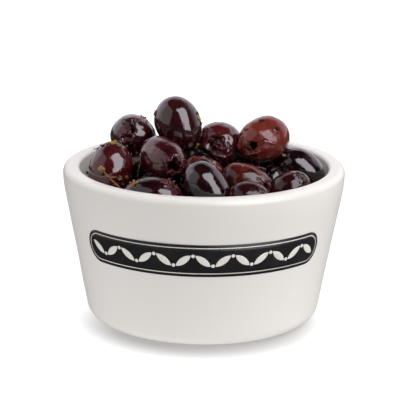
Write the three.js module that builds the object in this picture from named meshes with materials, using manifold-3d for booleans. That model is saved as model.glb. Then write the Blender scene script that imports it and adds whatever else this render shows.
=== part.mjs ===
// A small glazed stoneware dish heaped with pitted black olives.
// Millimetres, +Z up, the dish standing on Z = 0 around the Z axis, its front towards -Y.
// The heap is one solid: a core that fills the dish, with the olives, herbs and flakes on it.

import * as THREE from "three";
import { mergeVertices } from "three/addons/utils/BufferGeometryUtils.js";
import Module from "manifold-3d";

// ---- Dish ----
const DISH_HEIGHT = 60;
const RIM_RADIUS = 55; // widest place, just under the rim
const BASE_WALL_RADIUS = 45.1; // outer cone carried down to Z = 0
const WALL_SLOPE = 0.183; // mm outwards per mm of height, inside and out
const WALL_STRAIGHT_TOP = 50; // above it the wall bends upright
const BASE_CORNER = 5.9; // rounding between base and wall
const RIM_OUTER_ROUND = 2.5;
const RIM_INNER_ROUND = 1.5;
const RIM_WALL = 6.4;
const FLOOR_THICKNESS = 7;
const FLOOR_FILLET = 9;
const FOOT_RECESS = 1; // the middle of the base stands clear of the table
const FOOT_RING_INNER = 31;
const FOOT_RECESS_TAPER = 1.5;
const DISH_SEGMENTS = 64;
const BEND_STEPS = 3;
const ARC_STEP = 22.5; // degrees of an arc that one facet spans at most

// ---- Heap ----
const HEAP_GAP = 0.35; // between the heap and the dish
const CORE_EDGE_HEIGHT = 50; // top of the core where it meets the wall
const CORE_DOME = 8; // how much higher the core is in the middle
const CORE_SEGMENTS = 24;
const CORE_RINGS = 4;
const CLEARANCE_TOP = 100; // above every olive

// ---- One olive ----
const OLIVE_SEGMENTS = 12;
const OLIVE_RINGS = 8;
const OLIVE_TAPER = 0.07; // the end that the axis points away from is the fuller one
const PIT_SEGMENTS = 8;
const PIT_RINGS = 4;

const WELD = 1e-4;

// The olives that show from the front. Each has its middle at `at`, its long axis along
// `heading` (degrees from +X towards +Y) and `pitch` (degrees above level). `pit` is the torn
// pit hole, towards its own heading and pitch from the middle, with a radius and a depth.
const FRONT_OLIVES = {
  peak: { at: [-10, 2, 74.9], heading: -35, pitch: -63, length: 23.2, width: 18 },
  backLeft: {
    at: [-28.1, 6, 69.1], heading: -91, pitch: 30, length: 20, width: 17.8,
    pit: { heading: -90, pitch: 24, radius: 2, depth: 3.5 },
  },
  behindBackLeft: { at: [-27.8, 21, 66.3], heading: 37, pitch: -26, length: 19, width: 15.6 },
  leftFront: { at: [-35.8, -12, 60.6], heading: 53, pitch: 70, length: 21.6, width: 17.6 },
  middleLeft: {
    at: [-15.7, -13, 65], heading: -62, pitch: -3, length: 26, width: 16.5,
    pit: { heading: -68, pitch: -3, radius: 2.9, depth: 6 },
  },
  lowLeft: {
    at: [-19.1, -33, 55.3], heading: 173, pitch: 0, length: 24, width: 15.2,
    pit: { heading: -12, pitch: 37, radius: 2.2, depth: 3 },
  },
  frontMiddle: { at: [1.3, -33, 58.4], heading: -22, pitch: -54, length: 23, width: 16.2 },
  tornMiddle: {
    at: [6.1, 2, 67.3], heading: -73, pitch: -14, length: 18, width: 17.8,
    pit: { heading: -104, pitch: 8, radius: 4, depth: 2.2 },
  },
  brownRight: {
    at: [22.9, 0, 69.8], heading: -139, pitch: -10, length: 22.6, width: 18,
    pit: { heading: -113, pitch: -3, radius: 2, depth: 5 },
  },
  farRight: { at: [37.3, 0, 58.3], heading: -8, pitch: -24, length: 21.6, width: 15.4 },
  brownLow: {
    at: [16.6, -21, 57.6], heading: -7, pitch: -21, length: 22, width: 15.2,
    pit: { heading: -34, pitch: 1, radius: 2.2, depth: 3 },
  },
  lowRight: { at: [17.1, -34, 54.7], heading: -3, pitch: -10, length: 17.8, width: 14.4 },
  smallRight: { at: [32.3, -22, 55.9], heading: 9, pitch: 29, length: 17.6, width: 13.8 },
  flatMiddle: { at: [-0.5, -19, 61], heading: -2, pitch: -8, length: 18, width: 12.8 },
  underPeak: { at: [-4.8, -4, 59.9], heading: 6, pitch: 19, length: 20, width: 13.6 },
  underBrown: { at: [26, -6.5, 51.4], heading: 58, pitch: 71, length: 20, width: 13.2 },
  underBackLeft: { at: [-24, 1, 57.6], heading: 20, pitch: 40, length: 19, width: 14.8 },
};

// The other olives lie in rings: two on the far side, then a lower layer all round.
// `turn` and `lean` are the most by which their long axes turn and tilt.
const OLIVE_RINGS_AROUND = [
  { count: 6, radius: 37.5, height: 54.8, first: 42, last: 160, turn: 53, lean: 14 },
  { count: 3, radius: 19, height: 61.2, first: 46, last: 118, turn: 71, lean: 10 },
  { count: 12, radius: 38, height: 48, first: 8, last: 338, turn: 40, lean: 12 },
  { count: 5, radius: 20, height: 52, first: 200, last: 488, turn: 60, lean: 12 },
];
const RING_OLIVE_LENGTH = 21.5;
const RING_OLIVE_WIDTH = 16;
const RING_OLIVE_SPREAD = 0.06; // share by which neighbours differ in size
// How fast each trait of the ring olives varies from one to the next, in radians.
const RING_RHYTHM = { size: 2.4, height: 1.7, turn: 1.9, lean: 2.3 };

// ---- Herbs ----
const STEM_RADIUS = 0.55;
const STEM_SEGMENTS = 6;
const STEM_BUD_RADIUS = 1.5;
// One stem lies over the left front olive, with a bud at its upper end.
const STEM_POINTS = [[-39, -20.2, 62.4], [-35.9, -21.3, 59.4], [-31.8, -20.6, 55]];
const STEM_TWIG = [[-35.9, -21.3, 59.4], [-33, -21, 59.6]];
// Leaf flakes and crushed seed: the olive each lies on, its heading and pitch there, its length.
const FLAKES = [
  ["peak", -175, 28, 2.6],
  ["peak", -16, 19, 2.4],
  ["peak", -24, -44, 3],
  ["leftFront", -13, 85, 2.6],
  ["leftFront", -23, 70, 2.8],
  ["leftFront", 160, 57, 3.6],
  ["leftFront", -42, -14, 2.4],
  ["middleLeft", -29, -12, 3],
  ["lowLeft", -157, 49, 2.4],
  ["lowLeft", -163, 33, 2.6],
  ["brownRight", -107, 69, 2.4],
  ["brownRight", -42, 39, 2],
  ["brownRight", -148, 33, 2.2],
];
const FLAKE_WIDTH_SHARE = 0.6;
const FLAKE_THICKNESS = 0.9;

const RAD = Math.PI / 180;
const wasm = await Module();
wasm.setup();

// ---- Helpers ----

/** Points of a circular arc in a lathe profile, from one angle to another in degrees. */
function arc(centreX, centreY, radius, from, to) {
  const steps = Math.ceil(Math.abs(to - from) / ARC_STEP);
  const points = [];
  for (let i = 0; i <= steps; i += 1) {
    const angle = (from + ((to - from) * i) / steps) * RAD;
    points.push([centreX + radius * Math.cos(angle), centreY + radius * Math.sin(angle)]);
  }
  return points;
}

/** A solid of revolution around Z from [radius, height] pairs that start and end on the axis. */
function lathe(profile, segments) {
  const points = profile.map(([radius, height]) => new THREE.Vector2(radius, height));
  const geometry = new THREE.LatheGeometry(points, segments);
  geometry.rotateX(Math.PI / 2);
  return geometry;
}

/** The unit vector at a heading and a pitch in degrees. */
function direction(heading, pitch) {
  const level = Math.cos(pitch * RAD);
  return new THREE.Vector3(
    level * Math.cos(heading * RAD),
    level * Math.sin(heading * RAD),
    Math.sin(pitch * RAD),
  );
}

/** Turns a geometry's Z axis to a direction and moves its origin to a point. */
function place(geometry, towards, at) {
  const turn = new THREE.Quaternion().setFromUnitVectors(new THREE.Vector3(0, 0, 1), towards);
  geometry.applyQuaternion(turn);
  geometry.translate(at.x, at.y, at.z);
  return geometry;
}

/** A closed geometry as a manifold, its vertices welded and its collapsed triangles dropped. */
function toSolid(geometry) {
  const bare = geometry.clone();
  bare.deleteAttribute("normal");
  bare.deleteAttribute("uv");
  const welded = mergeVertices(bare, WELD);
  const index = welded.index.array;
  const triangles = [];
  for (let i = 0; i < index.length; i += 3) {
    const [a, b, c] = [index[i], index[i + 1], index[i + 2]];
    if (a !== b && b !== c && a !== c) {
      triangles.push(a, b, c);
    }
  }
  return new wasm.Manifold(
    new wasm.Mesh({
      numProp: 3,
      vertProperties: new Float32Array(welded.attributes.position.array),
      triVerts: new Uint32Array(triangles),
    }),
  );
}

/** A manifold as a geometry again. */
function toGeometry(solid) {
  const mesh = solid.getMesh();
  const geometry = new THREE.BufferGeometry();
  geometry.setAttribute("position", new THREE.BufferAttribute(mesh.vertProperties, 3));
  geometry.setIndex(new THREE.BufferAttribute(mesh.triVerts, 1));
  geometry.computeVertexNormals();
  return geometry;
}

// ---- The dish ----

/** Inner radius of the dish at a height, on its straight part. */
function innerRadius(height) {
  return RIM_RADIUS - RIM_WALL - WALL_SLOPE * (DISH_HEIGHT - height);
}

/** Outer radius of the dish at a height, on its straight part. */
function outerRadius(height) {
  return BASE_WALL_RADIUS + WALL_SLOPE * height;
}

/** Middle of a fillet that touches the level floor and the leaning wall from inside. */
function filletCentre(radius, floor, wallRadiusAt) {
  const slant = Math.sqrt(1 + WALL_SLOPE * WALL_SLOPE);
  return wallRadiusAt(floor + radius) - radius * slant;
}

/** Points of the bend that turns the leaning wall upright below the rim. */
function wallBend() {
  const lowX = outerRadius(WALL_STRAIGHT_TOP);
  const cornerZ = (RIM_RADIUS - BASE_WALL_RADIUS) / WALL_SLOPE;
  const highZ = DISH_HEIGHT - RIM_OUTER_ROUND;
  const bend = new THREE.QuadraticBezierCurve(
    new THREE.Vector2(lowX, WALL_STRAIGHT_TOP),
    new THREE.Vector2(RIM_RADIUS, cornerZ),
    new THREE.Vector2(RIM_RADIUS, highZ),
  );
  return bend.getPoints(BEND_STEPS).map((point) => [point.x, point.y]);
}

function dishGeometry() {
  const wallAngle = Math.atan(WALL_SLOPE) / RAD;
  const rimOuterX = RIM_RADIUS - RIM_OUTER_ROUND;
  const rimInnerX = innerRadius(DISH_HEIGHT) + RIM_INNER_ROUND;
  const baseX = filletCentre(BASE_CORNER, 0, outerRadius);
  const floorX = filletCentre(FLOOR_FILLET, FLOOR_THICKNESS, innerRadius);
  const profile = [
    [0, FOOT_RECESS],
    [FOOT_RING_INNER - FOOT_RECESS_TAPER, FOOT_RECESS],
    [FOOT_RING_INNER, 0],
    ...arc(baseX, BASE_CORNER, BASE_CORNER, -90, -wallAngle),
    ...wallBend(),
    ...arc(rimOuterX, DISH_HEIGHT - RIM_OUTER_ROUND, RIM_OUTER_ROUND, 0, 90).slice(1),
    ...arc(rimInnerX, DISH_HEIGHT - RIM_INNER_ROUND, RIM_INNER_ROUND, 90, 180 - wallAngle),
    ...arc(floorX, FLOOR_THICKNESS + FLOOR_FILLET, FLOOR_FILLET, -wallAngle, -90),
    [0, FLOOR_THICKNESS],
  ];
  return lathe(profile, DISH_SEGMENTS);
}

// ---- The heap ----

/** The room in and over the dish that the heap may fill, clear of the dish by HEAP_GAP. */
function heapRoom() {
  const floor = FLOOR_THICKNESS + HEAP_GAP;
  const wall = (height) => innerRadius(height) - HEAP_GAP;
  const filletX = filletCentre(FLOOR_FILLET, floor, wall);
  const wallAngle = Math.atan(WALL_SLOPE) / RAD;
  const top = DISH_HEIGHT + HEAP_GAP;
  return lathe(
    [
      [0, floor],
      ...arc(filletX, floor + FLOOR_FILLET, FLOOR_FILLET, -90, -wallAngle),
      [wall(top), top],
      [wall(CLEARANCE_TOP), CLEARANCE_TOP],
      [0, CLEARANCE_TOP],
    ],
    DISH_SEGMENTS,
  );
}

/** The core: it fills the dish to below the olives and is a little higher in the middle. */
function coreGeometry() {
  const profile = [
    [0, FLOOR_THICKNESS],
    [innerRadius(CORE_EDGE_HEIGHT), FLOOR_THICKNESS],
  ];
  for (let i = 0; i <= CORE_RINGS; i += 1) {
    const share = 1 - i / CORE_RINGS;
    profile.push([
      share * innerRadius(CORE_EDGE_HEIGHT),
      CORE_EDGE_HEIGHT + CORE_DOME * (1 - share * share),
    ]);
  }
  return lathe(profile, CORE_SEGMENTS);
}

/** An egg-like olive with its long axis along Z. */
function oliveGeometry(length, width) {
  const profile = [];
  for (let i = 0; i <= OLIVE_RINGS; i += 1) {
    const angle = (Math.PI * i) / OLIVE_RINGS;
    const radius = (width / 2) * Math.sin(angle) * (1 + OLIVE_TAPER * Math.cos(angle));
    profile.push([i === OLIVE_RINGS ? 0 : radius, (-length / 2) * Math.cos(angle)]);
  }
  return lathe(profile, OLIVE_SEGMENTS);
}

/** Distance from an olive's middle to its skin in a direction, on the plain ellipsoid. */
function skinDistance(olive, towards) {
  const along = towards.dot(direction(olive.heading, olive.pitch));
  const across = 1 - along * along;
  const halfLength = olive.length / 2;
  const halfWidth = olive.width / 2;
  return 1 / Math.sqrt((along * along) / halfLength ** 2 + across / halfWidth ** 2);
}

/** A rounded pit hole, its middle on the skin. */
function pitGeometry(olive) {
  const { heading, pitch, radius, depth } = olive.pit;
  const towards = direction(heading, pitch);
  const profile = [];
  for (let i = 0; i <= PIT_RINGS; i += 1) {
    const angle = (Math.PI * i) / PIT_RINGS;
    profile.push([i === PIT_RINGS ? 0 : radius * Math.sin(angle), -depth * Math.cos(angle)]);
  }
  const at = new THREE.Vector3(...olive.at).addScaledVector(towards, skinDistance(olive, towards));
  return place(lathe(profile, PIT_SEGMENTS), towards, at);
}

function oliveSolid(olive) {
  const shape = oliveGeometry(olive.length, olive.width);
  const at = new THREE.Vector3(...olive.at);
  const body = toSolid(place(shape, direction(olive.heading, olive.pitch), at));
  return olive.pit ? body.subtract(toSolid(pitGeometry(olive))) : body;
}

/** The olives of a ring, spaced evenly, each turned and sized a little differently. */
function ringOlives(ring) {
  const olives = [];
  for (let i = 0; i < ring.count; i += 1) {
    const angle = ring.first + ((ring.last - ring.first) * i) / (ring.count - 1);
    const size = 1 + RING_OLIVE_SPREAD * Math.sin(RING_RHYTHM.size * i + ring.turn);
    olives.push({
      at: [
        ring.radius * Math.cos(angle * RAD),
        ring.radius * Math.sin(angle * RAD),
        ring.height + Math.sin(RING_RHYTHM.height * i + ring.lean),
      ],
      heading: angle + 90 + ring.turn * Math.sin(RING_RHYTHM.turn * i),
      pitch: ring.lean * Math.cos(RING_RHYTHM.lean * i),
      length: RING_OLIVE_LENGTH * size,
      width: RING_OLIVE_WIDTH * size,
    });
  }
  return olives;
}

/** A flat leaf flake or seed half sunk in the skin of an olive. */
function flakeSolid([name, heading, pitch, length]) {
  const olive = FRONT_OLIVES[name];
  const towards = direction(heading, pitch);
  const at = new THREE.Vector3(...olive.at).addScaledVector(towards, skinDistance(olive, towards));
  const flake = new THREE.OctahedronGeometry(0.5);
  flake.scale(length, length * FLAKE_WIDTH_SHARE, FLAKE_THICKNESS * 2);
  return toSolid(place(flake, towards, at));
}

/** A straight length of stem between two points, reaching a little past both. */
function stemSolid(from, to) {
  const start = new THREE.Vector3(...from);
  const end = new THREE.Vector3(...to);
  const along = end.clone().sub(start);
  const rod = new THREE.CylinderGeometry(
    STEM_RADIUS,
    STEM_RADIUS,
    along.length() + STEM_RADIUS,
    STEM_SEGMENTS,
  );
  rod.rotateX(Math.PI / 2);
  return toSolid(place(rod, along.normalize(), start.add(end).multiplyScalar(0.5)));
}

function herbSolids() {
  const bud = new THREE.OctahedronGeometry(STEM_BUD_RADIUS, 1);
  bud.translate(...STEM_POINTS[0]);
  return [
    toSolid(bud),
    stemSolid(STEM_POINTS[0], STEM_POINTS[1]),
    stemSolid(STEM_POINTS[1], STEM_POINTS[2]),
    stemSolid(...STEM_TWIG),
    ...FLAKES.map(flakeSolid),
  ];
}

function heapGeometry() {
  const olives = [...Object.values(FRONT_OLIVES), ...OLIVE_RINGS_AROUND.flatMap(ringOlives)];
  let heap = toSolid(coreGeometry());
  for (const piece of [...olives.map(oliveSolid), ...herbSolids()]) {
    heap = heap.add(piece);
  }
  return toGeometry(heap.intersect(toSolid(heapRoom())));
}

// ---- The object ----

function addMesh(group, name, geometry, color, roughness) {
  const material = new THREE.MeshStandardMaterial({ color, roughness, metalness: 0 });
  const mesh = new THREE.Mesh(geometry, material);
  mesh.name = name;
  group.add(mesh);
}

const dishOfOlives = new THREE.Group();
dishOfOlives.name = "dish_of_olives";
addMesh(dishOfOlives, "bowl", dishGeometry(), 0xe3dfda, 0.25);
addMesh(dishOfOlives, "olives", heapGeometry(), 0x3a1416, 0.2);

export default dishOfOlives;
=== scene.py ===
"""The looks of a small glazed dish heaped with pitted black olives.

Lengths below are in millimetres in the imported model's own frame, +Z up and the front towards
-Y. They become metres where a mesh is made. The layout repeats the part's source.
"""

import math
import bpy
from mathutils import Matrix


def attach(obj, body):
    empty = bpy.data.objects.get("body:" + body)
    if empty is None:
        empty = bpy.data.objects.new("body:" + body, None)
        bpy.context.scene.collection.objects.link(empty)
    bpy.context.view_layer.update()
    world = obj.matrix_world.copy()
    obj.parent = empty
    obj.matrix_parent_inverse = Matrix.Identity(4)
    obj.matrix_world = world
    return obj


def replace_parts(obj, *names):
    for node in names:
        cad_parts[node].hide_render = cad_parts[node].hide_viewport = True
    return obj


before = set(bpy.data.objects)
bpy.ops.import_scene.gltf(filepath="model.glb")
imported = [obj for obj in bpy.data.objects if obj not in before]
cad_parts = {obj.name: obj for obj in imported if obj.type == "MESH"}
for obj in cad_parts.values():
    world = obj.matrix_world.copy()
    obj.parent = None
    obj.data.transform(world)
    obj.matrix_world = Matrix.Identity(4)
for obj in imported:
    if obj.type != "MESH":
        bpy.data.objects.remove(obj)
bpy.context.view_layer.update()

from types import SimpleNamespace

import bpy
import numpy as np
from mathutils import Matrix, Vector

MM = 0.001
BODY = "root"

# ---- Dish, as in the part's source ----
DISH_HEIGHT = 60
RIM_RADIUS = 55
BASE_WALL_RADIUS = 45.1
WALL_SLOPE = 0.183
WALL_LEAN = math.degrees(math.atan(WALL_SLOPE))
WALL_STRAIGHT_TOP = 50
BASE_CORNER = 5.9
RIM_OUTER_ROUND = 2.5
RIM_INNER_ROUND = 1.5
RIM_WALL = 6.4
FLOOR_THICKNESS = 7
FLOOR_FILLET = 9
FOOT_RECESS = 1
FOOT_RING_INNER = 31
FOOT_RECESS_TAPER = 1.5

# ---- Dish, finer here ----
DISH_SEGMENTS = 224
ARC_STEP = 5
BEND_STEPS = 10
WALL_STEPS = 24
GLAZE_WAVE = 0.05
GLAZE_WAVELENGTH = 26
GLAZE_SINK = 2.2  # in waves; it keeps the glaze within the size
RIM_SHINE = (56.5 * MM, 59 * MM, 0, 0.4)  # heights between which the coat comes in, and its weights
GLAZE_COLORS = ((0.835, 0.80, 0.765), (0.865, 0.835, 0.80))
PIN_COLOR = (0.45, 0.4, 0.34)
PIN_CELLS = 330  # scale of the cells that may each hold a pinhole
PIN_RARITY = 0.93  # share of the cells that hold none

# ---- Heap, as in the part's source ----
HEAP_GAP = 0.35
CORE_EDGE_HEIGHT = 50
CORE_DOME = 8
CORE_SEGMENTS = 120
CORE_STEPS = (8, 12, 40)  # on its floor, its side and its top
CORE_BUMPS = ((16, 1.6), (5, 0.3))  # wavelength and height
CORE_SINK = 1.8

OLIVE_TAPER = 0.07

# The olives that show from the front: middle, heading and pitch of the long axis, length and
# width, then kind, tone from 0, darkest, to 1, lightest, and how shrivelled each one is.
FRONT_OLIVES = {
    "peak": ((-10, 2, 74.9), -35, -63, 23.2, 18, "black", 0.75, 0.5),
    "backLeft": ((-28.1, 6, 69.1), -91, 30, 20, 17.8, "purple", 0.5, 1),
    "behindBackLeft": ((-27.8, 21, 66.3), 37, -26, 19, 15.6, "brown", 0, 0.8),
    "leftFront": ((-35.8, -12, 60.6), 53, 70, 21.6, 17.6, "purple", 0.8, 0.7),
    "middleLeft": ((-15.7, -13, 65), -62, -3, 26, 16.5, "purple", 0.6, 0.8),
    "lowLeft": ((-19.1, -33, 55.3), 173, 0, 24, 15.2, "purple", 0.1, 0.5),
    "frontMiddle": ((1.3, -33, 58.4), -22, -54, 23, 16.2, "black", 0.3, 0.6),
    "tornMiddle": ((6.1, 2, 67.3), -73, -14, 18, 17.8, "purple", 1, 1.4),
    "brownRight": ((22.9, 0, 69.8), -139, -10, 22.6, 18, "brown", 1, 0.7),
    "farRight": ((37.3, 0, 58.3), -8, -24, 21.6, 15.4, "black", 0.15, 1),
    "brownLow": ((16.6, -21, 57.6), -7, -21, 22, 15.2, "brown", 0.45, 0.7),
    "lowRight": ((17.1, -34, 54.7), -3, -10, 17.8, 14.4, "brown", 0, 0.5),
    "smallRight": ((32.3, -22, 55.9), 9, 29, 17.6, 13.8, "brown", 0, 0.9),
    "flatMiddle": ((-0.5, -19, 61), -2, -8, 18, 12.8, "brown", 0.5, 0.2),
    "underPeak": ((-4.8, -4, 59.9), 6, 19, 20, 13.6, "black", 0.1, 1),
    "underBrown": ((26, -6.5, 51.4), 58, 71, 20, 13.2, "black", 0, 1),
    "underBackLeft": ((-24, 1, 57.6), 20, 40, 19, 14.8, "purple", 0.2, 1),
}

# The rings of olives: two on the far side, then a lower layer all round.
OLIVE_RINGS_AROUND = (
    {"count": 6, "radius": 37.5, "height": 54.8, "first": 42, "last": 160, "turn": 53, "lean": 14},
    {"count": 3, "radius": 19, "height": 61.2, "first": 46, "last": 118, "turn": 71, "lean": 10},
    {"count": 12, "radius": 38, "height": 48, "first": 8, "last": 338, "turn": 40, "lean": 12},
    {"count": 5, "radius": 20, "height": 52, "first": 200, "last": 488, "turn": 60, "lean": 12},
)
RING_OLIVE_LENGTH = 21.5
RING_OLIVE_WIDTH = 16
RING_OLIVE_SPREAD = 0.06
RING_RHYTHM = {"size": 2.4, "height": 1.7, "turn": 1.9, "lean": 2.3}
UPPER_RINGS = 2  # the first rings of the list lie on top of the heap

# ---- Looks of the olives ----
# For each kind: the darkest and the lightest skin, torn flesh, and how wet the skin is.
OLIVE_COLORS = {
    "black": ((0.005, 0.001, 0.002), (0.038, 0.005, 0.006), (0.07, 0.006, 0.009), 1),
    "purple": ((0.008, 0.001, 0.002), (0.075, 0.0065, 0.009), (0.13, 0.007, 0.016), 1),
    "brown": ((0.024, 0.003, 0.003), (0.16, 0.022, 0.014), (0.15, 0.016, 0.011), 0.42),
}
# The near-black that painted shade in holes, hollows and creases darkens the skin towards.
PAINTED_SHADE_BLACK = (0.002, 0.001, 0.001)
RING_KINDS = ("black", "purple", "black", "brown", "purple")

# ---- Herbs ----
# The stem, its bud and the flakes are as in the part's source, and each flake has a colour.
STEM_RADIUS = 0.55
STEM_BUD_RADIUS = 1.5
STEM_POINTS = ((-39, -20.2, 62.4), (-35.9, -21.3, 59.4), (-31.8, -20.6, 55))
STEM_TWIG_END = (-33, -21, 59.6)
STEM_PULL = 0.8
STALK_STEPS = 22
STALK_SWAY = 0.12
TWIG_STEPS = 9
BUD_SHAPE = (0.95, 0.85, 0.85)
SEPAL_HEADINGS = (20, 95, 170, 250, 320)
SEPAL_PITCH = -25
SEPAL_SIZE = (1.4, 0.8)
FLAKE_WIDTH_SHARE = 0.6
FLAKE_RISE = 0.7
FLAKE_HALF_THICKNESS = 0.12
FLAKE_LIFT = 0.1
FLAKE_GRID = (12, 6)
GRAIN_GRID = 7
# On each olive: heading and pitch from its middle, length, and colour.
FLAKES = {
    "peak": [(-175, 28, 2.6, "orange"), (-16, 19, 2.4, "yellow"), (-24, -44, 3, "yellow")],
    "leftFront": [
        (-13, 85, 2.6, "yellow"), (-23, 70, 2.8, "green"), (160, 57, 3.6, "dark"),
        (-42, -14, 2.4, "orange"),
    ],
    "middleLeft": [(-29, -12, 3, "yellow")],
    "lowLeft": [(-157, 49, 2.4, "sage"), (-163, 33, 2.6, "orange")],
    "brownRight": [(-107, 69, 2.4, "dark"), (-42, 39, 2, "dark"), (-148, 33, 2.2, "orange")],
}
# Crumbs too small for the part's source, in the same form.
CRUMBS = {
    "backLeft": [
        (-9, 64, 2.2, "pale"), (-30, 46, 1.5, "pale"), (12, 57, 1.1, "orange"),
        (-124, 49, 2.6, "green"), (-108, 56, 2, "dark"),
    ],
    "peak": [(-14, 34, 1.3, "dark"), (-13, 6, 1.2, "dark"), (-20, -20, 1.1, "green")],
    "leftFront": [
        (-178, 83, 1.8, "red"), (-175, 72, 1.8, "dark"), (36, 78, 1.6, "yellow"),
        (22, 52, 1.4, "green"), (-61, 9, 0.9, "pale"), (-65, -6, 1, "orange"),
        (-67, -12, 1.2, "pale"), (-174, -8, 1.9, "green"), (-62, -11, 1.9, "pale"),
    ],
    "underBackLeft": [
        (-136, 65, 1.5, "red"), (-102, 31, 1.4, "red"), (-159, 48, 2.6, "pale"),
        (-124, 29, 2.4, "sage"),
    ],
    "lowLeft": [
        (172, 30, 1, "orange"), (170, 38, 0.9, "yellow"), (12, 46, 1.1, "red"),
        (6, 36, 0.9, "pale"), (-14, 42, 0.9, "orange"), (-16, 24, 0.9, "red"),
    ],
    "brownLow": [(-122, 63, 0.9, "pale")],
    "brownRight": [(-157, 20, 1.1, "orange")],
    "farRight": [(-150, 40, 1.8, "pale")],
}
CRUMB_SPIN = 140
SEED_COLORS = ("orange", "yellow", "red")
HERB_COLORS = {
    "yellow": ((0.2, 0.12, 0.02), (0.5, 0.35, 0.07)),
    "orange": ((0.12, 0.04, 0.01), (0.42, 0.17, 0.04)),
    "green": ((0.04, 0.04, 0.012), (0.17, 0.16, 0.06)),
    "sage": ((0.06, 0.05, 0.025), (0.3, 0.27, 0.15)),
    "dark": ((0.003, 0.002, 0.002), (0.03, 0.022, 0.015)),
    "pale": ((0.16, 0.12, 0.07), (0.5, 0.44, 0.3)),
    "red": ((0.1, 0.012, 0.01), (0.34, 0.07, 0.05)),
    "bud": ((0.06, 0.035, 0.01), (0.42, 0.31, 0.12)),
    "stem": ((0.08, 0.025, 0.008), (0.45, 0.2, 0.065)),
}

# Hollows of bare flesh: heading and pitch from the olive's middle, radius and depth.
HOLLOWS = {
    "tornMiddle": [(-106, 12, 3.6, 1.5), (-94, -9, 2.2, 0.7)],
    "brownRight": [(-124, -11, 1.9, 0.7)],
    "lowLeft": [(-12, 29, 4.2, 0.5)],
    "middleLeft": [(-66, -2, 3.9, 0.5)],
    "backLeft": [(-94, 34, 2.3, 0.35), (-101, 8, 1.7, 0.8)],
    "brownLow": [(-32, 0, 2.4, 0.4)],
}
# Torn holes: heading and pitch, radius and depth of the hole, radius and depth of the torn
# flesh round it, and the height of the skin's curled edge.
HOLES = {
    "backLeft": [(-88, 31, 0.75, 2.8, 1.1, 0.25, 0.1)],
    "middleLeft": [(-68, -1, 2.2, 6, 2.8, 0.4, 0.1)],
    "lowLeft": [(-9, 30, 1.1, 3, 1.8, 0.5, 0.1)],
    "brownRight": [(-116, -2, 1.55, 5, 1.8, 0.25, 0.1)],
    "brownLow": [(-32, 0, 1.1, 3, 1.6, 0.4, 0.1)],
}
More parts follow.
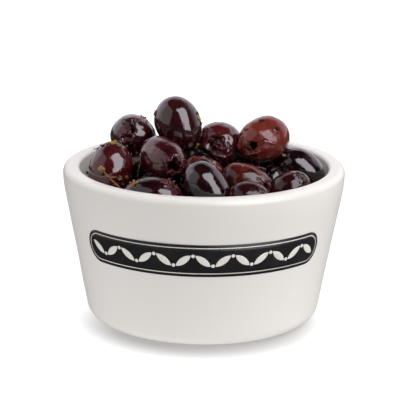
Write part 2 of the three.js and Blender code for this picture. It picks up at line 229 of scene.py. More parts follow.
# Creases in the skin: depth, width, how far the skin is lifted along one side, and the
# (heading, pitch) places they run through. A crease of negative depth is a ridge.
CREASES = {
    "backLeft": [
        (1.3, 0.5, 0.15, (-89, 20), (-87, 34), (-84, 46), (-88, 60)),
        (0.9, 0.4, 0.15, (-80, 24), (-90, 36), (-100, 46)),
        (0.5, 0.35, 0.2, (-84, 46), (-70, 53), (-48, 57)),
        (0.8, 0.4, 0.15, (-88, 28), (-90, 18), (-98, 8)),
        (-0.45, 0.35, 0, (-91, 20), (-85, 9), (-87, -3), (-96, -8)),
        (0.4, 0.4, 0.2, (-110, 20), (-114, 8), (-106, -4)),
    ],
    "tornMiddle": [
        (0.9, 0.7, 0.25, (-124, -2), (-122, 12), (-112, 27), (-100, 33), (-86, 28), (-80, 20)),
        (-0.7, 0.55, 0, (-142, 8), (-130, 0), (-112, -11), (-98, -16), (-87, -18), (-67, -23)),
        (0.7, 0.5, 0, (-126, -4), (-110, -3), (-96, -9)),
        (0.7, 0.6, 0, (-128, -14), (-108, -22), (-84, -28)),
        (-0.7, 0.4, 0, (-114, 19), (-105, 17), (-94, 14), (-82, 11)),
        (-0.7, 0.4, 0, (-110, 10), (-102, 8), (-92, 3), (-80, -2)),
        (0.45, 0.5, 0.3, (-72, 20), (-66, 8), (-72, -6)),
        (0.4, 0.5, 0.3, (-156, 14), (-150, 28), (-142, 40), (-120, 50)),
        (0.5, 0.5, 0.3, (178, 30), (166, 40), (156, 50)),
    ],
    "brownRight": [
        (0.5, 0.35, 0.15, (-115, 5), (-122, 4), (-131, 8)),
        (0.35, 0.45, 0, (-112, 2), (-104, 6), (-89, 13), (-76, 11)),
        (-0.2, 0.6, 0, (-92, 10), (-76, 8), (-60, 0), (-46, -8)),
        (-0.4, 0.6, 0, (-152, 16), (-152, 2), (-150, -8)),
        (-0.8, 1, 0, (-158, -4), (-150, -9), (-143, -13)),
        (-0.4, 0.4, 0, (-132, 6), (-130, -2), (-128, -8)),
        (-0.6, 0.4, 0, (-140, -20), (-128, -23), (-116, -19), (-105, -17), (-95, -13)),
        (1, 0.8, 0, (-142, -27), (-124, -31), (-104, -26)),
        (0.4, 0.3, 0.1, (-46, 44), (-43, 34)),
    ],
    "middleLeft": [
        (0.35, 0.5, 0.2, (-94, 12), (-86, 6), (-80, 3)),
        (0.35, 0.4, 0.2, (-84, -14), (-78, -9)),
        (0.35, 0.4, 0.2, (-50, 12), (-57, 6)),
    ],
    "farRight": [
        (0.4, 0.45, 0.3, (-158, 2), (-144, -6), (-128, -16)),
        (0.4, 0.45, 0.3, (-160, -20), (-146, -16), (-132, -6)),
        (0.35, 0.4, 0.3, (-136, 12), (-132, 0), (-134, -14)),
    ],
    "brownLow": [
        (0.45, 0.35, 0.25, (-60, 34), (-46, 18), (-36, 4)),
        (0.45, 0.35, 0.25, (-40, 38), (-34, 22), (-28, 6)),
        (0.4, 0.35, 0.2, (-66, 16), (-50, 8), (-38, -2)),
    ],
    "smallRight": [
        (0.5, 0.45, 0.45, (-70, 62), (-46, 58), (-22, 58)),
        (0.4, 0.4, 0.3, (-52, 50), (-36, 44), (-20, 46)),
    ],
    "lowRight": [
        (0.2, 0.4, 0.1, (-40, 50), (-25, 30)),
    ],
    "lowLeft": [
        (0.5, 0.35, 0.25, (-34, 48), (-22, 42), (-12, 36)),
        (0.5, 0.35, 0.25, (-34, 24), (-22, 28), (-12, 30)),
        (0.35, 0.35, 0.2, (6, 50), (-2, 40)),
    ],
    "flatMiddle": [
        (-0.8, 0.55, 0, (-176, 46), (-167, 63), (-101, 69), (-49, 59), (-16, 44), (-31, 30)),
        (0.6, 0.7, 0, (-150, 44), (-136, 51), (-80, 52), (-43, 41)),
    ],
}
PATH_STEPS = 5
PRESS_LEAST = 0.3  # share of its reach that an olive's skin keeps against a neighbour
PRESS_STEPS = 12
# Puckered ends: heading, pitch, radius, depth, number of folds.
PUCKERS = {
    "farRight": [(-146, -10, 3.8, 0.55, 7)],
    "smallRight": [(-34, 55, 2.4, 0.4, 5)],
    "brownLow": [(-30, -2, 4.2, 0.4, 8)],
    "lowLeft": [(-8, 31, 4, 0.35, 7)],
    "middleLeft": [(-67, -2, 5, 0.18, 9)],
}
RAGGED = 0.3
# How dark the painted shade in a hollow is.
HOLLOW_SHADE = 0.45
HOLE_GATHER = 0.6  # share by which the mesh is drawn together round the first torn place

# Mesh density: faces along an edge of the cube that each olive is made from.
FRONT_GRID = 44
UPPER_GRID = 30
LOWER_GRID = 16
HALF_HIDDEN = ("underPeak", "underBrown", "underBackLeft", "behindBackLeft")
FRONT_GRIDS = {"flatMiddle": 36, **dict.fromkeys(HALF_HIDDEN, UPPER_GRID)}

# Relief of the skin: wavelength and height.
LUMP = (11, 0.16)
RIPPLE = (4.2, 0.04)
GRAIN = (1.9, 0.018)
WRINKLE = (2.3, 0.05)
WRINKLE_STRETCH = 4
SMOOTH_SHARE = 0.1  # ripple and grain left on an olive that isn't shrivelled

# ---- Band round the front ----
BAND_LOW = 29.7
BAND_HIGH = 42.5
BAND_MIDDLE = (BAND_LOW + BAND_HIGH) / 2
BAND_HALF_LENGTH = math.radians(56) * (BASE_WALL_RADIUS + WALL_SLOPE * BAND_MIDDLE)
BAND_LIFT = 0.06
LAYER_LIFT = 0.02
DECAL_SINK = 0.15
BAND_GRID = (160, 9)
BAND_LINE_INSET = 1.1
BAND_LINE_WIDTH = 0.35
LEAF_COUNT = 13
LEAF_LENGTH = 7
LEAF_WIDTH = 2.6
LEAF_TILT = 38
LEAF_POINT = 0.8
LEAF_GRID = (15, 5)
DOT_RADIUS = 0.7
DOT_RISE = 1.96
DOT_GRID = (11, 5)
BAND_BLACK = ((0.012, 0.011, 0.013), (0.03, 0.027, 0.028))
BAND_CREAM = ((0.84, 0.81, 0.75), (0.66, 0.63, 0.57))

# ---- Camera ----
CAMERA_AT = (0, -671.2, 228.7)
CAMERA_AIM = (1.7, 0, 42)
CAMERA_ROLL = 0.664
CAMERA_LENS = 153.38

# ---- Lights ----
# Azimuth from the front towards +X, elevation, distance, width, height and brightness. The
# first set shows in gloss and the second lights dull colours, as a large soft tent would.
GLOSS_LIGHTS = {
    "key": (44, 33, 1250, 1020, 1650, 3.3),
    "left": (-72, 28, 1250, 1700, 1700, 0.5),
}
COLOR_LIGHTS = {
    "right": (72, 38, 1250, 1500, 1600, 1.15),
    "left": (-76, 34, 1250, 1700, 1700, 0.45),
    "top": (80, 64, 1300, 900, 900, 3),
}
GLOSS_TINT = (0.98, 0.94, 1)
BACKDROP_TINT = (0.96, 0.9, 1)
BACKDROP_PITCH = 8
# The backdrop, with its strengths: from which share of a direction pointing there it begins
# and is full, and between which rises of a direction it fades.
BACKDROP_EDGE = (0.1, 0.45, 0, 0.85)
BACKDROP_TOP = (0.6, 0.85, 1, 0)
SEEN_WHITE = 1.3
FRONT_DARK = 0.015
TENT_GLOW = 0.42  # even light on dull surfaces from all round
WHITE = (1, 1, 1)
FLOOR_SIZE = 5000
FLOOR_COLOR = (0.43, 0.43, 0.43)
FLOOR_SHEEN = 0.06  # its brightness in reflections
# The middle of the floor's painted shadow.
SHADOW_MIDDLE = (0.5 * MM, -11.5 * MM, 0)
# The floor's glow as the camera sees it, a painted shadow over the real one from the lamps: weak
# near the shadow's middle and full further off. Then its light on dull surfaces. Each gives a near
# and a far distance from the shadow's middle, and the strengths there.
FLOOR_GLOW_AND_PAINTED_SHADOW = (34 * MM, 54 * MM, 0.1, 0.82)
FLOOR_BOUNCE = (50 * MM, 130 * MM, 1.1, 0.8)


# ---- Small helpers ----

def direction(heading, pitch):
    """The unit vector at a heading and a pitch in degrees."""
    h = math.radians(heading)
    p = math.radians(pitch)
    return np.array((math.cos(p) * math.cos(h), math.cos(p) * math.sin(h), math.sin(p)))


def unit(vectors):
    """The vectors with their lengths made one."""
    return vectors / np.linalg.norm(vectors, axis=-1, keepdims=True)


def turn_to(towards):
    """The matrix that turns +Z to a direction the short way."""
    return np.array(Vector((0, 0, 1)).rotation_difference(Vector(towards)).to_matrix())


def smoothstep(low, high, value):
    share = np.clip((value - low) / (high - low), 0, 1)
    return share * share * (3 - 2 * share)


def waves(points, wavelength, seed, count=14):
    """A smooth random field over points, about -1 to 1, the same for the same seed."""
    draw = np.random.default_rng(seed)
    ways = unit(draw.normal(size=(count, 3)))
    lengths = wavelength * draw.uniform(0.7, 1.4, count)
    phases = draw.uniform(0, 2 * math.pi, count)
    turns = points @ (ways / lengths[:, None]).T
    return np.cos(2 * math.pi * turns + phases).sum(axis=1) / math.sqrt(count)


def bezier(start, pull, end, steps):
    """Points of a curve from start to end that is drawn towards a third point."""
    t = np.linspace(0, 1, steps)[:, None]
    return (1 - t) ** 2 * start + 2 * t * (1 - t) * pull + t * t * end


def quads(index):
    """The faces between the rows and columns of an array of point numbers."""
    corners = (index[:-1, :-1], index[1:, :-1], index[1:, 1:], index[:-1, 1:])
    return np.stack(corners, axis=-1).reshape(-1, 4).tolist()


def ring_faces(count, sides, first=0):
    """The faces between closed rings of points that are numbered one after another."""
    index = first + np.arange(count * sides).reshape(count, sides)
    return quads(np.hstack((index, index[:, :1])).T)


def closed_sheet(top, under):
    """Points and faces of a sheet with an upper and a lower side and closed edges."""
    index = np.arange(top[..., 0].size).reshape(top.shape[:2])
    count = index.size
    faces = quads(index) + [face[::-1] for face in quads(index + count)]
    edges = (index[:, 0], index[-1, 1:], index[-2::-1, -1], index[0, -2:0:-1])
    ring = np.concatenate(edges).tolist()
    for one, other in zip(ring, ring[1:] + ring[:1]):
        faces.append([other, one, one + count, other + count])
    return np.concatenate((top.reshape(-1, 3), under.reshape(-1, 3))), faces


def add_to_scene(name, data):
    thing = bpy.data.objects.new(name, data)
    bpy.context.scene.collection.objects.link(thing)
    return thing


class Batch:
    """Points, faces and point values of several shapes that make one piece."""

    def __init__(self):
        self.points = []
        self.faces = []
        self.values = {}
        self.count = 0

    def add(self, points, faces, **values):
        self.faces.extend([i + self.count for i in face] for face in faces)
        self.points.append(np.asarray(points, dtype=float))
        for key, value in values.items():
            self.values.setdefault(key, []).append(np.broadcast_to(value, len(points)))
        self.count += len(points)

    def make(self, name, material, slot):
        """The smooth mesh piece, riding on the one body."""
        mesh = bpy.data.meshes.new(name)
        mesh.from_pydata((np.concatenate(self.points) * MM).tolist(), [], self.faces)
        for key, parts in self.values.items():
            layer = mesh.attributes.new(key, "FLOAT", "POINT")
            layer.data.foreach_set("value", np.concatenate(parts).astype(np.float32))
        mesh.validate()
        mesh.shade_smooth()
        mesh.materials.append(material)
        piece = add_to_scene(name, mesh)
        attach(piece, BODY)
        return piece


# ---- Materials ----

def plug(socket, value):
    """Links a socket to another one or to a node's first output, or sets its plain value."""
    if isinstance(value, bpy.types.Node):
        value = value.outputs[0]
    if isinstance(value, bpy.types.NodeSocket):
        socket.id_data.links.new(value, socket)
    elif socket.type == "RGBA":
        socket.default_value = (*value, 1)
    else:
        socket.default_value = value


def feed(node, **inputs):
    """Plugs a node's inputs by name, with an underscore for each space in it."""
    for name, value in inputs.items():
        plug(node.inputs[name.replace("_", " ")], value)


class Graph:
    """A node tree, with short ways to add the nodes that are used here."""

    def __init__(self, tree, place):
        self.tree = tree
        self.place = self.node("TexCoord").outputs[place]

    def node(self, kind, *values, settings=None, **inputs):
        node = self.tree.nodes.new(f"ShaderNode{kind}")
        for key, value in (settings or {}).items():
            setattr(node, key, value)
        for socket, value in zip(node.inputs, values):
            plug(socket, value)
        feed(node, **inputs)
        return node

    def noise(self, scale, detail, roughness):
        return self.node(
            "TexNoise", Vector=self.place, Scale=scale, Detail=detail, Roughness=roughness
        )

    def remap(self, value, *spans):
        """Carries a value smoothly from one span, low and high, to another."""
        return self.node("MapRange", value, *spans, settings={"interpolation_type": "SMOOTHSTEP"})

    def math(self, operation, first, second):
        return self.node("Math", first, second, settings={"operation": operation})

    def measure(self, operation, point):
        """A vector operation with one number as its result, between the place and a point."""
        node = self.node("VectorMath", self.place, point, settings={"operation": operation})
        return node.outputs["Value"]

    def mix(self, factor, first, second):
        """Mixes two colours."""
        node = self.node("Mix", factor, settings={"data_type": "RGBA"})
        plug(node.inputs[6], first)
        plug(node.inputs[7], second)
        return node.outputs[2]

    def height(self):
        return self.node("SeparateXYZ", self.place).outputs["Z"]

    def attribute(self, name):
        return self.node("Attribute", settings={"attribute_name": name}).outputs["Fac"]

    def bump(self, height, distance, strength):
        return self.node("Bump", Height=height, Distance=distance, Strength=strength)

    def split_rays(self, kind, others, own):
        """A shader of its own for one kind of ray."""
        chosen = self.node("LightPath").outputs[f"Is {kind} Ray"]
        return self.node("MixShader", chosen, others, own)


def new_material(name):
    material = bpy.data.materials.new(name)
    material.use_nodes = True
    shader = material.node_tree.nodes["Principled BSDF"]
    return material, Graph(material.node_tree, "Object"), shader


def olive_material(name, dark, light, flesh, coat):
    """Wet, oiled skin: mottled from dark to light by its tone, with torn flesh where it shows, and
    painted shade in holes, hollows and creases.
    """
    material, graph, shader = new_material(name)
    torn = graph.attribute("flesh")
    mottle = graph.remap(graph.noise(170, 4, 0.6), 0.3, 0.72, -0.28, 0.28)
    skin = graph.mix(graph.math("ADD", graph.attribute("tone"), mottle), dark, light)
    specks = graph.remap(graph.noise(1300, 3, 0.6), 0.56, 0.72, 0, 0.55)
    fibres = graph.remap(graph.noise(900, 4, 0.7), 0.3, 0.7, 0, 0.6)
    whole = graph.mix(torn, graph.mix(specks, skin, dark), graph.mix(fibres, flesh, dark))
    film = graph.remap(graph.noise(420, 2, 0.5), 0.35, 0.7, 0.06, 0.3 - 0.18 * coat)
    feed(
        shader,
        # Painted shade: each point's shade value darkens the skin towards near-black.
        Base_Color=graph.mix(graph.attribute("deep"), whole, PAINTED_SHADE_BLACK),
        Roughness=graph.math("ADD", film, graph.math("MULTIPLY", torn, 0.42)),
        IOR=1.5,
        Specular_IOR_Level=graph.remap(torn, 0, 1, 0.5, 0.3),
        Coat_Weight=graph.math("SUBTRACT", coat, graph.math("MULTIPLY", torn, 0.85 * coat)),
        Coat_Roughness=0.04,
        Coat_IOR=1.6,
        Normal=graph.bump(graph.noise(900, 3, 0.55), 0.09 * MM, 1),
    )
    return material


def glaze_material():
    """Warm off-white glaze, a little uneven in colour and gloss, with fine pinholes."""
    material, graph, shader = new_material("off_white_glaze")
    base = graph.mix(graph.noise(22, 3, 0.5), *GLAZE_COLORS)
    cells = graph.node("TexVoronoi", graph.place, Scale=PIN_CELLS).outputs
    few = graph.math("GREATER_THAN", graph.node("SeparateColor", cells["Color"]), PIN_RARITY)
    pin = graph.math("MULTIPLY", graph.remap(cells["Distance"], 0.03, 0.08, 0.4, 0), few)
    feed(
        shader,
        Base_Color=graph.mix(pin, base, PIN_COLOR),
        Roughness=graph.remap(graph.noise(30, 2, 0.5), 0.2, 0.8, 0.3, 0.36),
        Coat_Weight=graph.remap(graph.height(), *RIM_SHINE),
        Coat_Roughness=0.15,
    )
    return material


def print_material(name, color, faded):
    """A printed colour under the glaze, worn a little thin in places."""
    material, graph, shader = new_material(name)
    wash = graph.noise(90, 2, 0.5)
    worn = graph.remap(graph.math("MULTIPLY", graph.noise(700, 3, 0.6), wash), 0.2, 0.5, 0, 0.5)
    roughness = graph.remap(wash, 0.3, 0.7, 0.3, 0.42)
    feed(shader, Base_Color=graph.mix(worn, color, faded), Roughness=roughness)
    return material


def herb_material(name, dark, light):
    """Dried leaf or stem, streaky, with a little oil on it."""
    material, graph, shader = new_material(name)
    streaks = graph.noise(1600, 4, 0.65)
    feed(
        shader,
        Base_Color=graph.mix(graph.remap(streaks, 0.3, 0.7, 0, 1), dark, light),
        Roughness=graph.remap(streaks, 0.3, 0.7, 0.45, 0.7),
        Specular_IOR_Level=0.25,
        Normal=graph.bump(streaks, 0.08 * MM, 0.7),
    )
    return material


# ---- The dish ----

def arc(centre_x, centre_y, radius, start, end):
    """Points of a circular arc in a profile, from one angle to another in degrees."""
    steps = math.ceil(abs(end - start) / ARC_STEP)
    angles = np.radians(np.linspace(start, end, steps + 1))
    return np.stack((centre_x + radius * np.cos(angles), centre_y + radius * np.sin(angles)), 1)


def join_runs(start, *runs):
    """A profile through runs of points, with a straight line of given steps before each."""
    profile = [np.array(start)]
    for steps, points in runs:
        profile.extend(np.linspace(profile[-1], points[0], steps + 1)[1:-1])
        profile.extend(points)
    return np.array(profile)


def inner_radius(height):
    """Inner radius of the dish at a height, on its straight part."""
    return RIM_RADIUS - RIM_WALL - WALL_SLOPE * (DISH_HEIGHT - height)


def outer_radius(height):
    """Outer radius of the dish at a height, on its straight part."""
    return BASE_WALL_RADIUS + WALL_SLOPE * height


def fillet(radius, floor, wall_radius_at, start, end):
    """The arc that touches the level floor and the leaning wall from inside."""
    centre = wall_radius_at(floor + radius) - radius * math.sqrt(1 + WALL_SLOPE**2)
    return arc(centre, floor + radius, radius, start, end)


def wall_bend():
    """Points of the bend that turns the leaning wall upright below the rim."""
    low = np.array((outer_radius(WALL_STRAIGHT_TOP), WALL_STRAIGHT_TOP))
    corner = np.array((RIM_RADIUS, (RIM_RADIUS - BASE_WALL_RADIUS) / WALL_SLOPE))
    high = np.array((RIM_RADIUS, DISH_HEIGHT - RIM_OUTER_ROUND))
    return bezier(low, corner, high, BEND_STEPS + 1)


def dish_profile():
    ring_top = (FOOT_RING_INNER - FOOT_RECESS_TAPER, FOOT_RECESS)
    outer_x = RIM_RADIUS - RIM_OUTER_ROUND
    inner_x = inner_radius(DISH_HEIGHT) + RIM_INNER_ROUND
    outer_rim = arc(outer_x, DISH_HEIGHT - RIM_OUTER_ROUND, RIM_OUTER_ROUND, 0, 90)
    inner_rim = arc(inner_x, DISH_HEIGHT - RIM_INNER_ROUND, RIM_INNER_ROUND, 90, 180 - WALL_LEAN)
    return join_runs(
        (0, FOOT_RECESS),
        (WALL_STEPS, [ring_top]),
        (1, [(FOOT_RING_INNER, 0)]),
        (BEND_STEPS, fillet(BASE_CORNER, 0, outer_radius, -90, -WALL_LEAN)),
        (WALL_STEPS, wall_bend()),
        (1, outer_rim[1:]),
        (BEND_STEPS, inner_rim),
        (WALL_STEPS, fillet(FLOOR_FILLET, FLOOR_THICKNESS, inner_radius, -WALL_LEAN, -90)),
        (WALL_STEPS, [(0, FLOOR_THICKNESS)]),
    )


def lathe(profile, segments):
    """Points and faces of a profile turned round Z, which starts and ends on the axis."""
    angles = np.arange(segments) * 2 * math.pi / segments
    radius, height = profile[1:-1].T[:, :, None]
    sides = np.broadcast_arrays(radius * np.cos(angles), radius * np.sin(angles), height)
    first, final = ((0, 0, profile[k][1]) for k in (0, -1))
    points = np.vstack((first, np.stack(sides, axis=-1).reshape(-1, 3), final))
    last = len(points) - 1
    top = last - segments
    faces = ring_faces(len(profile) - 2, segments, 1)
    for k in range(segments):
        after = (k + 1) % segments
        faces += [(0, 1 + after, 1 + k), (top + k, top + after, last)]
    return points, faces


def make_dish():
    points, faces = lathe(dish_profile(), DISH_SEGMENTS)
    swell = GLAZE_WAVE * (waves(points, GLAZE_WAVELENGTH, 3) - GLAZE_SINK)
    fade = smoothstep(0.5, 6, points[:, 2])
    radius = np.hypot(points[:, 0], points[:, 1])
    outside = radius > RIM_RADIUS - RIM_WALL - 10
    share = 1 + np.where(outside, swell * fade / np.maximum(radius, 1), 0)
    points[:, :2] *= share[:, None]
    batch = Batch()
    batch.add(points, faces)
    piece = batch.make("dish_glazed", glaze_material(), "glaze")
    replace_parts(piece, "bowl")


# ---- The band ----

def on_wall(place, lift):
    """Points of the dish's outer wall at places (along from the front, height)."""
    along, height = np.moveaxis(place, -1, 0)
    reach = outer_radius(height) + lift
    angle = along / outer_radius(BAND_MIDDLE)
    return np.stack((reach * np.sin(angle), -reach * np.cos(angle), height), axis=-1)


def add_mark(batch, lift, middle, half_length, half_width_at, tilt, columns, rows):
    """Adds a thin closed solid on the wall, symmetric about its own long axis."""
    shares = np.cos(np.linspace(math.pi, 0, columns))[:, None]
    x = half_length * shares
    y = half_width_at(shares) * np.linspace(-1, 1, rows)
    turned = complex(*middle) + (x + 1j * y) * np.exp(1j * math.radians(tilt))
    grid = np.stack((turned.real, turned.imag), axis=-1)
    batch.add(*closed_sheet(on_wall(grid, lift), on_wall(grid, -DECAL_SINK)))


def add_band_layer(batch, inset, layer):
    """Adds the band's form, with round ends, drawn in by an inset."""
    radius = (BAND_HIGH - BAND_LOW) / 2 - inset
    half_length = BAND_HALF_LENGTH - inset

    def half_width(share):
        over = np.maximum(0, abs(share) * half_length - (half_length - radius))
        return np.sqrt(np.maximum(0, radius**2 - over**2))

    lift = BAND_LIFT + layer * LAYER_LIFT
    add_mark(batch, lift, (0, BAND_MIDDLE), half_length, half_width, 0, *BAND_GRID)


def leaf_half_width(share):
    return LEAF_WIDTH / 2 * (1 - share * share) ** LEAF_POINT


def dot_half_width(share):
    return DOT_RADIUS * np.sqrt(np.maximum(0, 1 - share * share))


def make_band():
    """The band: a dark ground with a cream line inside its edge and a row of leaves and dots."""
    ground = Batch()
    marks = Batch()
    add_band_layer(ground, 0, 0)
    add_band_layer(marks, BAND_LINE_INSET, 1)
    add_band_layer(ground, BAND_LINE_INSET + BAND_LINE_WIDTH, 2)
    span = BAND_HALF_LENGTH - (BAND_HIGH - BAND_LOW) / 2
    step = 2 * span / (LEAF_COUNT - 1)
    lift = BAND_LIFT + 3 * LAYER_LIFT
    for i in range(LEAF_COUNT):
        along = i * step - span
        way = 1 if i % 2 else -1
        at = (along, BAND_MIDDLE)
        add_mark(marks, lift, at, LEAF_LENGTH / 2, leaf_half_width, way * LEAF_TILT, *LEAF_GRID)
        if i < LEAF_COUNT - 1:
            at = (along + step / 2, BAND_MIDDLE + way * DOT_RISE)
            add_mark(marks, lift, at, DOT_RADIUS, dot_half_width, 0, *DOT_GRID)
    ground.make("band_ground", print_material("band_black", *BAND_BLACK), "band")
    marks.make("band_marks", print_material("band_cream", *BAND_CREAM), "band")


# ---- The olives ----

def cube_sphere(steps):
    """Evenly spread unit directions and the quads between them."""
    ticks = np.tan(np.linspace(-1, 1, steps + 1) * math.pi / 4)
    across, up = np.meshgrid(ticks, ticks, indexing="ij")
    ones = np.ones_like(across)
    sides = (
        (ones, across, up), (-ones, up, across), (up, ones, across),
        (across, -ones, up), (across, up, ones), (up, across, -ones),
    )
    points = unit(np.concatenate([np.stack(side, axis=-1).reshape(-1, 3) for side in sides]))
    _, first, index = np.unique(np.round(points, 6), axis=0, return_index=True, return_inverse=True)
    index = index.reshape(6, steps + 1, steps + 1)
    return points[first], [face for side in index for face in quads(side)]


def gather(ways, towards, share):
    """Draws unit directions together round one of them, for a finer mesh there."""
    cosine = np.clip(ways @ towards, -1, 1)
    angle = np.arccos(cosine)
    nearer = angle - share * np.sin(angle)
    level = ways - cosine[:, None] * towards
    size = np.linalg.norm(level, axis=1, keepdims=True)
    level /= np.maximum(size, 1e-9)
    return np.cos(nearer)[:, None] * towards + np.sin(nearer)[:, None] * level


def olive_facts(steps, at, heading, pitch, length, width, kind, tone, shrivel):
    return SimpleNamespace(
        steps=steps,
        at=np.array(at, dtype=float),
        turn=turn_to(direction(heading, pitch)),
        halves=np.array((width, width, length)) / 2,
        kind=kind,
        tone=tone,
        shrivel=shrivel,
    )


def ring_olives():
    """The olives of the rings, which lie on the far side and in the layer below."""
    olives = {}
    for number, ring in enumerate(OLIVE_RINGS_AROUND):
        steps = UPPER_GRID if number < UPPER_RINGS else LOWER_GRID
        for i in range(ring["count"]):
            angle = ring["first"] + (ring["last"] - ring["first"]) * i / (ring["count"] - 1)
            size = 1 + RING_OLIVE_SPREAD * math.sin(RING_RHYTHM["size"] * i + ring["turn"])
            at = ring["radius"] * direction(angle, 0)
            at[2] = ring["height"] + math.sin(RING_RHYTHM["height"] * i + ring["lean"])
            heading = angle + 90 + ring["turn"] * math.sin(RING_RHYTHM["turn"] * i)
            pitch = ring["lean"] * math.cos(RING_RHYTHM["lean"] * i)
            layout = (at, heading, pitch, RING_OLIVE_LENGTH * size, RING_OLIVE_WIDTH * size)
            look = (RING_KINDS[(i + number) % len(RING_KINDS)], 0.2 + 0.15 * (i % 4), 1.0)
            olives[f"ring{number}_{i}"] = olive_facts(steps, *layout, *look)
    return olives


def share_of(olive, points):
    """How far points lie from an olive's middle, where 1 is its plain skin."""
    local = (points - olive.at) @ olive.turn
    return np.linalg.norm(local / olive.halves, axis=1)


def press_together(olive, others, points):
    """Draws the skin in where it would cross a neighbour, so that both meet in one face."""
    keep = np.ones(len(points))
    for other in others:
        near = np.linalg.norm(other.at - olive.at)
        if other is olive or near > olive.halves.max() + other.halves.max():
            continue
        low = np.full(len(points), PRESS_LEAST)
        high = np.ones(len(points))
        crossed = share_of(other, points) < 1
        for _ in range(PRESS_STEPS):
            middle = (low + high) / 2
            tried = olive.at + (points - olive.at) * middle[:, None]
            inside = share_of(other, tried) < middle
            high = np.where(inside, middle, high)
            low = np.where(inside, low, middle)
        keep = np.where(crossed, np.minimum(keep, low), keep)
    return olive.at + (points - olive.at) * keep[:, None]


def skin_point(olive, towards):
    """The point on an olive's plain skin in a direction from its middle."""
    local = towards @ olive.turn
    return olive.at + towards / np.linalg.norm(local / olive.halves)


def around(olive, points, heading, pitch):
    """A direction, and where points lie round it: level offset, distance, and which face it."""
    towards = direction(heading, pitch)
    away = points - skin_point(olive, towards)
    level = away - (away @ towards)[:, None] * towards
    facing = (points - olive.at) @ towards > 0
    return towards, level, np.linalg.norm(level, axis=1), facing


def mark_skin(marks, key, values, facing):
    """Raises a mark of the skin to given values on the side that faces the place."""
    marks[key] = np.where(facing, np.maximum(marks[key], values), marks[key])


def press_hollow(olive, points, marks, hollow, seed):
    """Sinks a shallow hollow of bare, folded flesh into an olive, with painted shade in it."""
    heading, pitch, radius, depth = hollow
    towards, level, distance, facing = around(olive, points, heading, pitch)
    share = distance / (radius * (1 + RAGGED * waves(level, 3.2, seed)))
    bowl = smoothstep(1.1, 0.3, share)
    folds = np.abs(waves(points, 2.6, seed + 1)) - 0.5
    sunk = depth * bowl * (1 + 0.5 * folds)
    mark_skin(marks, "flesh", smoothstep(1.0, 0.8, share), facing)
    # Painted shade over the hollow, varied by its folds.
    mark_skin(marks, "deep", HOLLOW_SHADE * bowl * (1 - folds), facing)
    return np.where(facing[:, None], points - towards * sunk[:, None], points)


def tear_hole(olive, points, marks, hole, seed):
    """Opens a torn hole: ragged flesh that slopes down to a round hole, darkened with painted
    shade.
    """
    heading, pitch, radius, depth, mouth_radius, mouth_depth, lip = hole
    towards, level, distance, facing = around(olive, points, heading, pitch)
    edge = radius * (1 + RAGGED * waves(level, 2.4, seed))
    mouth = mouth_radius * (1 + RAGGED * waves(level, 2.6, seed + 1))
    mouth = np.maximum(mouth, edge * 1.12)
    share = distance / edge
    quarter = np.clip(share, 0, 1) * math.pi / 2
    spread = np.where(share < 1, np.sin(quarter) ** 0.9 / np.maximum(share, 1e-6), 1)
    slope = np.clip((distance - edge) / (mouth - edge), 0, 1)
    sunk = mouth_depth * (1 - slope) * (1 - 0.3 * smoothstep(0.8, 1, slope))
    folds = 0.5 - np.abs(waves(points, 3.0, seed + 2))
    sunk -= 0.35 * mouth_depth * folds * smoothstep(1.05, 0.8, slope) * (slope < 1)
    sunk += depth * np.cos(quarter)
    rise = (distance - mouth) / 0.35
    raised = lip * np.exp(-((rise - 0.8) ** 2)) * (0.7 + 0.6 * waves(level, 3.0, seed + 3))
    moved = points + level * (spread - 1)[:, None] - towards * (sunk - raised)[:, None]
    mark_skin(marks, "flesh", smoothstep(1.06, 0.94, distance / mouth), facing)
    # Painted shade that darkens the hole and the flesh next to it.
    mark_skin(marks, "deep", smoothstep(1.1, 0.55, share), facing)
    return np.where(facing[:, None], moved, points)


def fold_crease(olive, points, marks, crease, seed):
    """Presses a crease into the skin along a path, and lifts the skin on one side of it. A crease,
    though not a ridge, is darkened with painted shade along its groove.
    """
    depth, width, lift, *path = crease
    stops = np.array([direction(*stop) for stop in path])
    knots = np.arange(PATH_STEPS * (len(path) - 1) + 1) / PATH_STEPS
    ways = np.stack([np.interp(knots, range(len(path)), part) for part in stops.T], axis=1)
    run_points = [skin_point(olive, unit(way)) for way in ways]
    nearest = np.full(len(points), 1e9)
    side = share = np.zeros(len(points))
    for number, (one, other) in enumerate(zip(run_points, run_points[1:])):
        run = other - one
        outwards = unit(one - olive.at)
        part = np.clip((points - one) @ run / (run @ run), 0, 1)
        gap = points - one - part[:, None] * run
        gap -= (gap @ outwards)[:, None] * outwards
        distance = np.linalg.norm(gap, axis=1)
        distance = np.where((points - olive.at) @ outwards > 0, distance, 1e9)
        closer = distance < nearest
        nearest = np.where(closer, distance, nearest)
        side = np.where(closer, np.sign(np.cross(gap, run) @ outwards), side)
        share = np.where(closer, (number + part) / (len(run_points) - 1), share)
    offset = nearest * side + 0.3 * width * waves(points, 2.4, seed)
    fade = smoothstep(-0.01, 0.2, share) * smoothstep(1.01, 0.8, share)
    groove = np.exp(-((offset / width) ** 2)) * fade
    lifted = np.exp(-(((offset - 1.8 * width) / (1.2 * width)) ** 2)) * fade
    # Painted shade along the groove, stronger the deeper the crease.
    if depth > 0:
        marks["deep"] = np.maximum(marks["deep"], min(1, 1.2 * depth) * groove)
    return points + unit(points - olive.at) * (lift * lifted - depth * groove)[:, None]


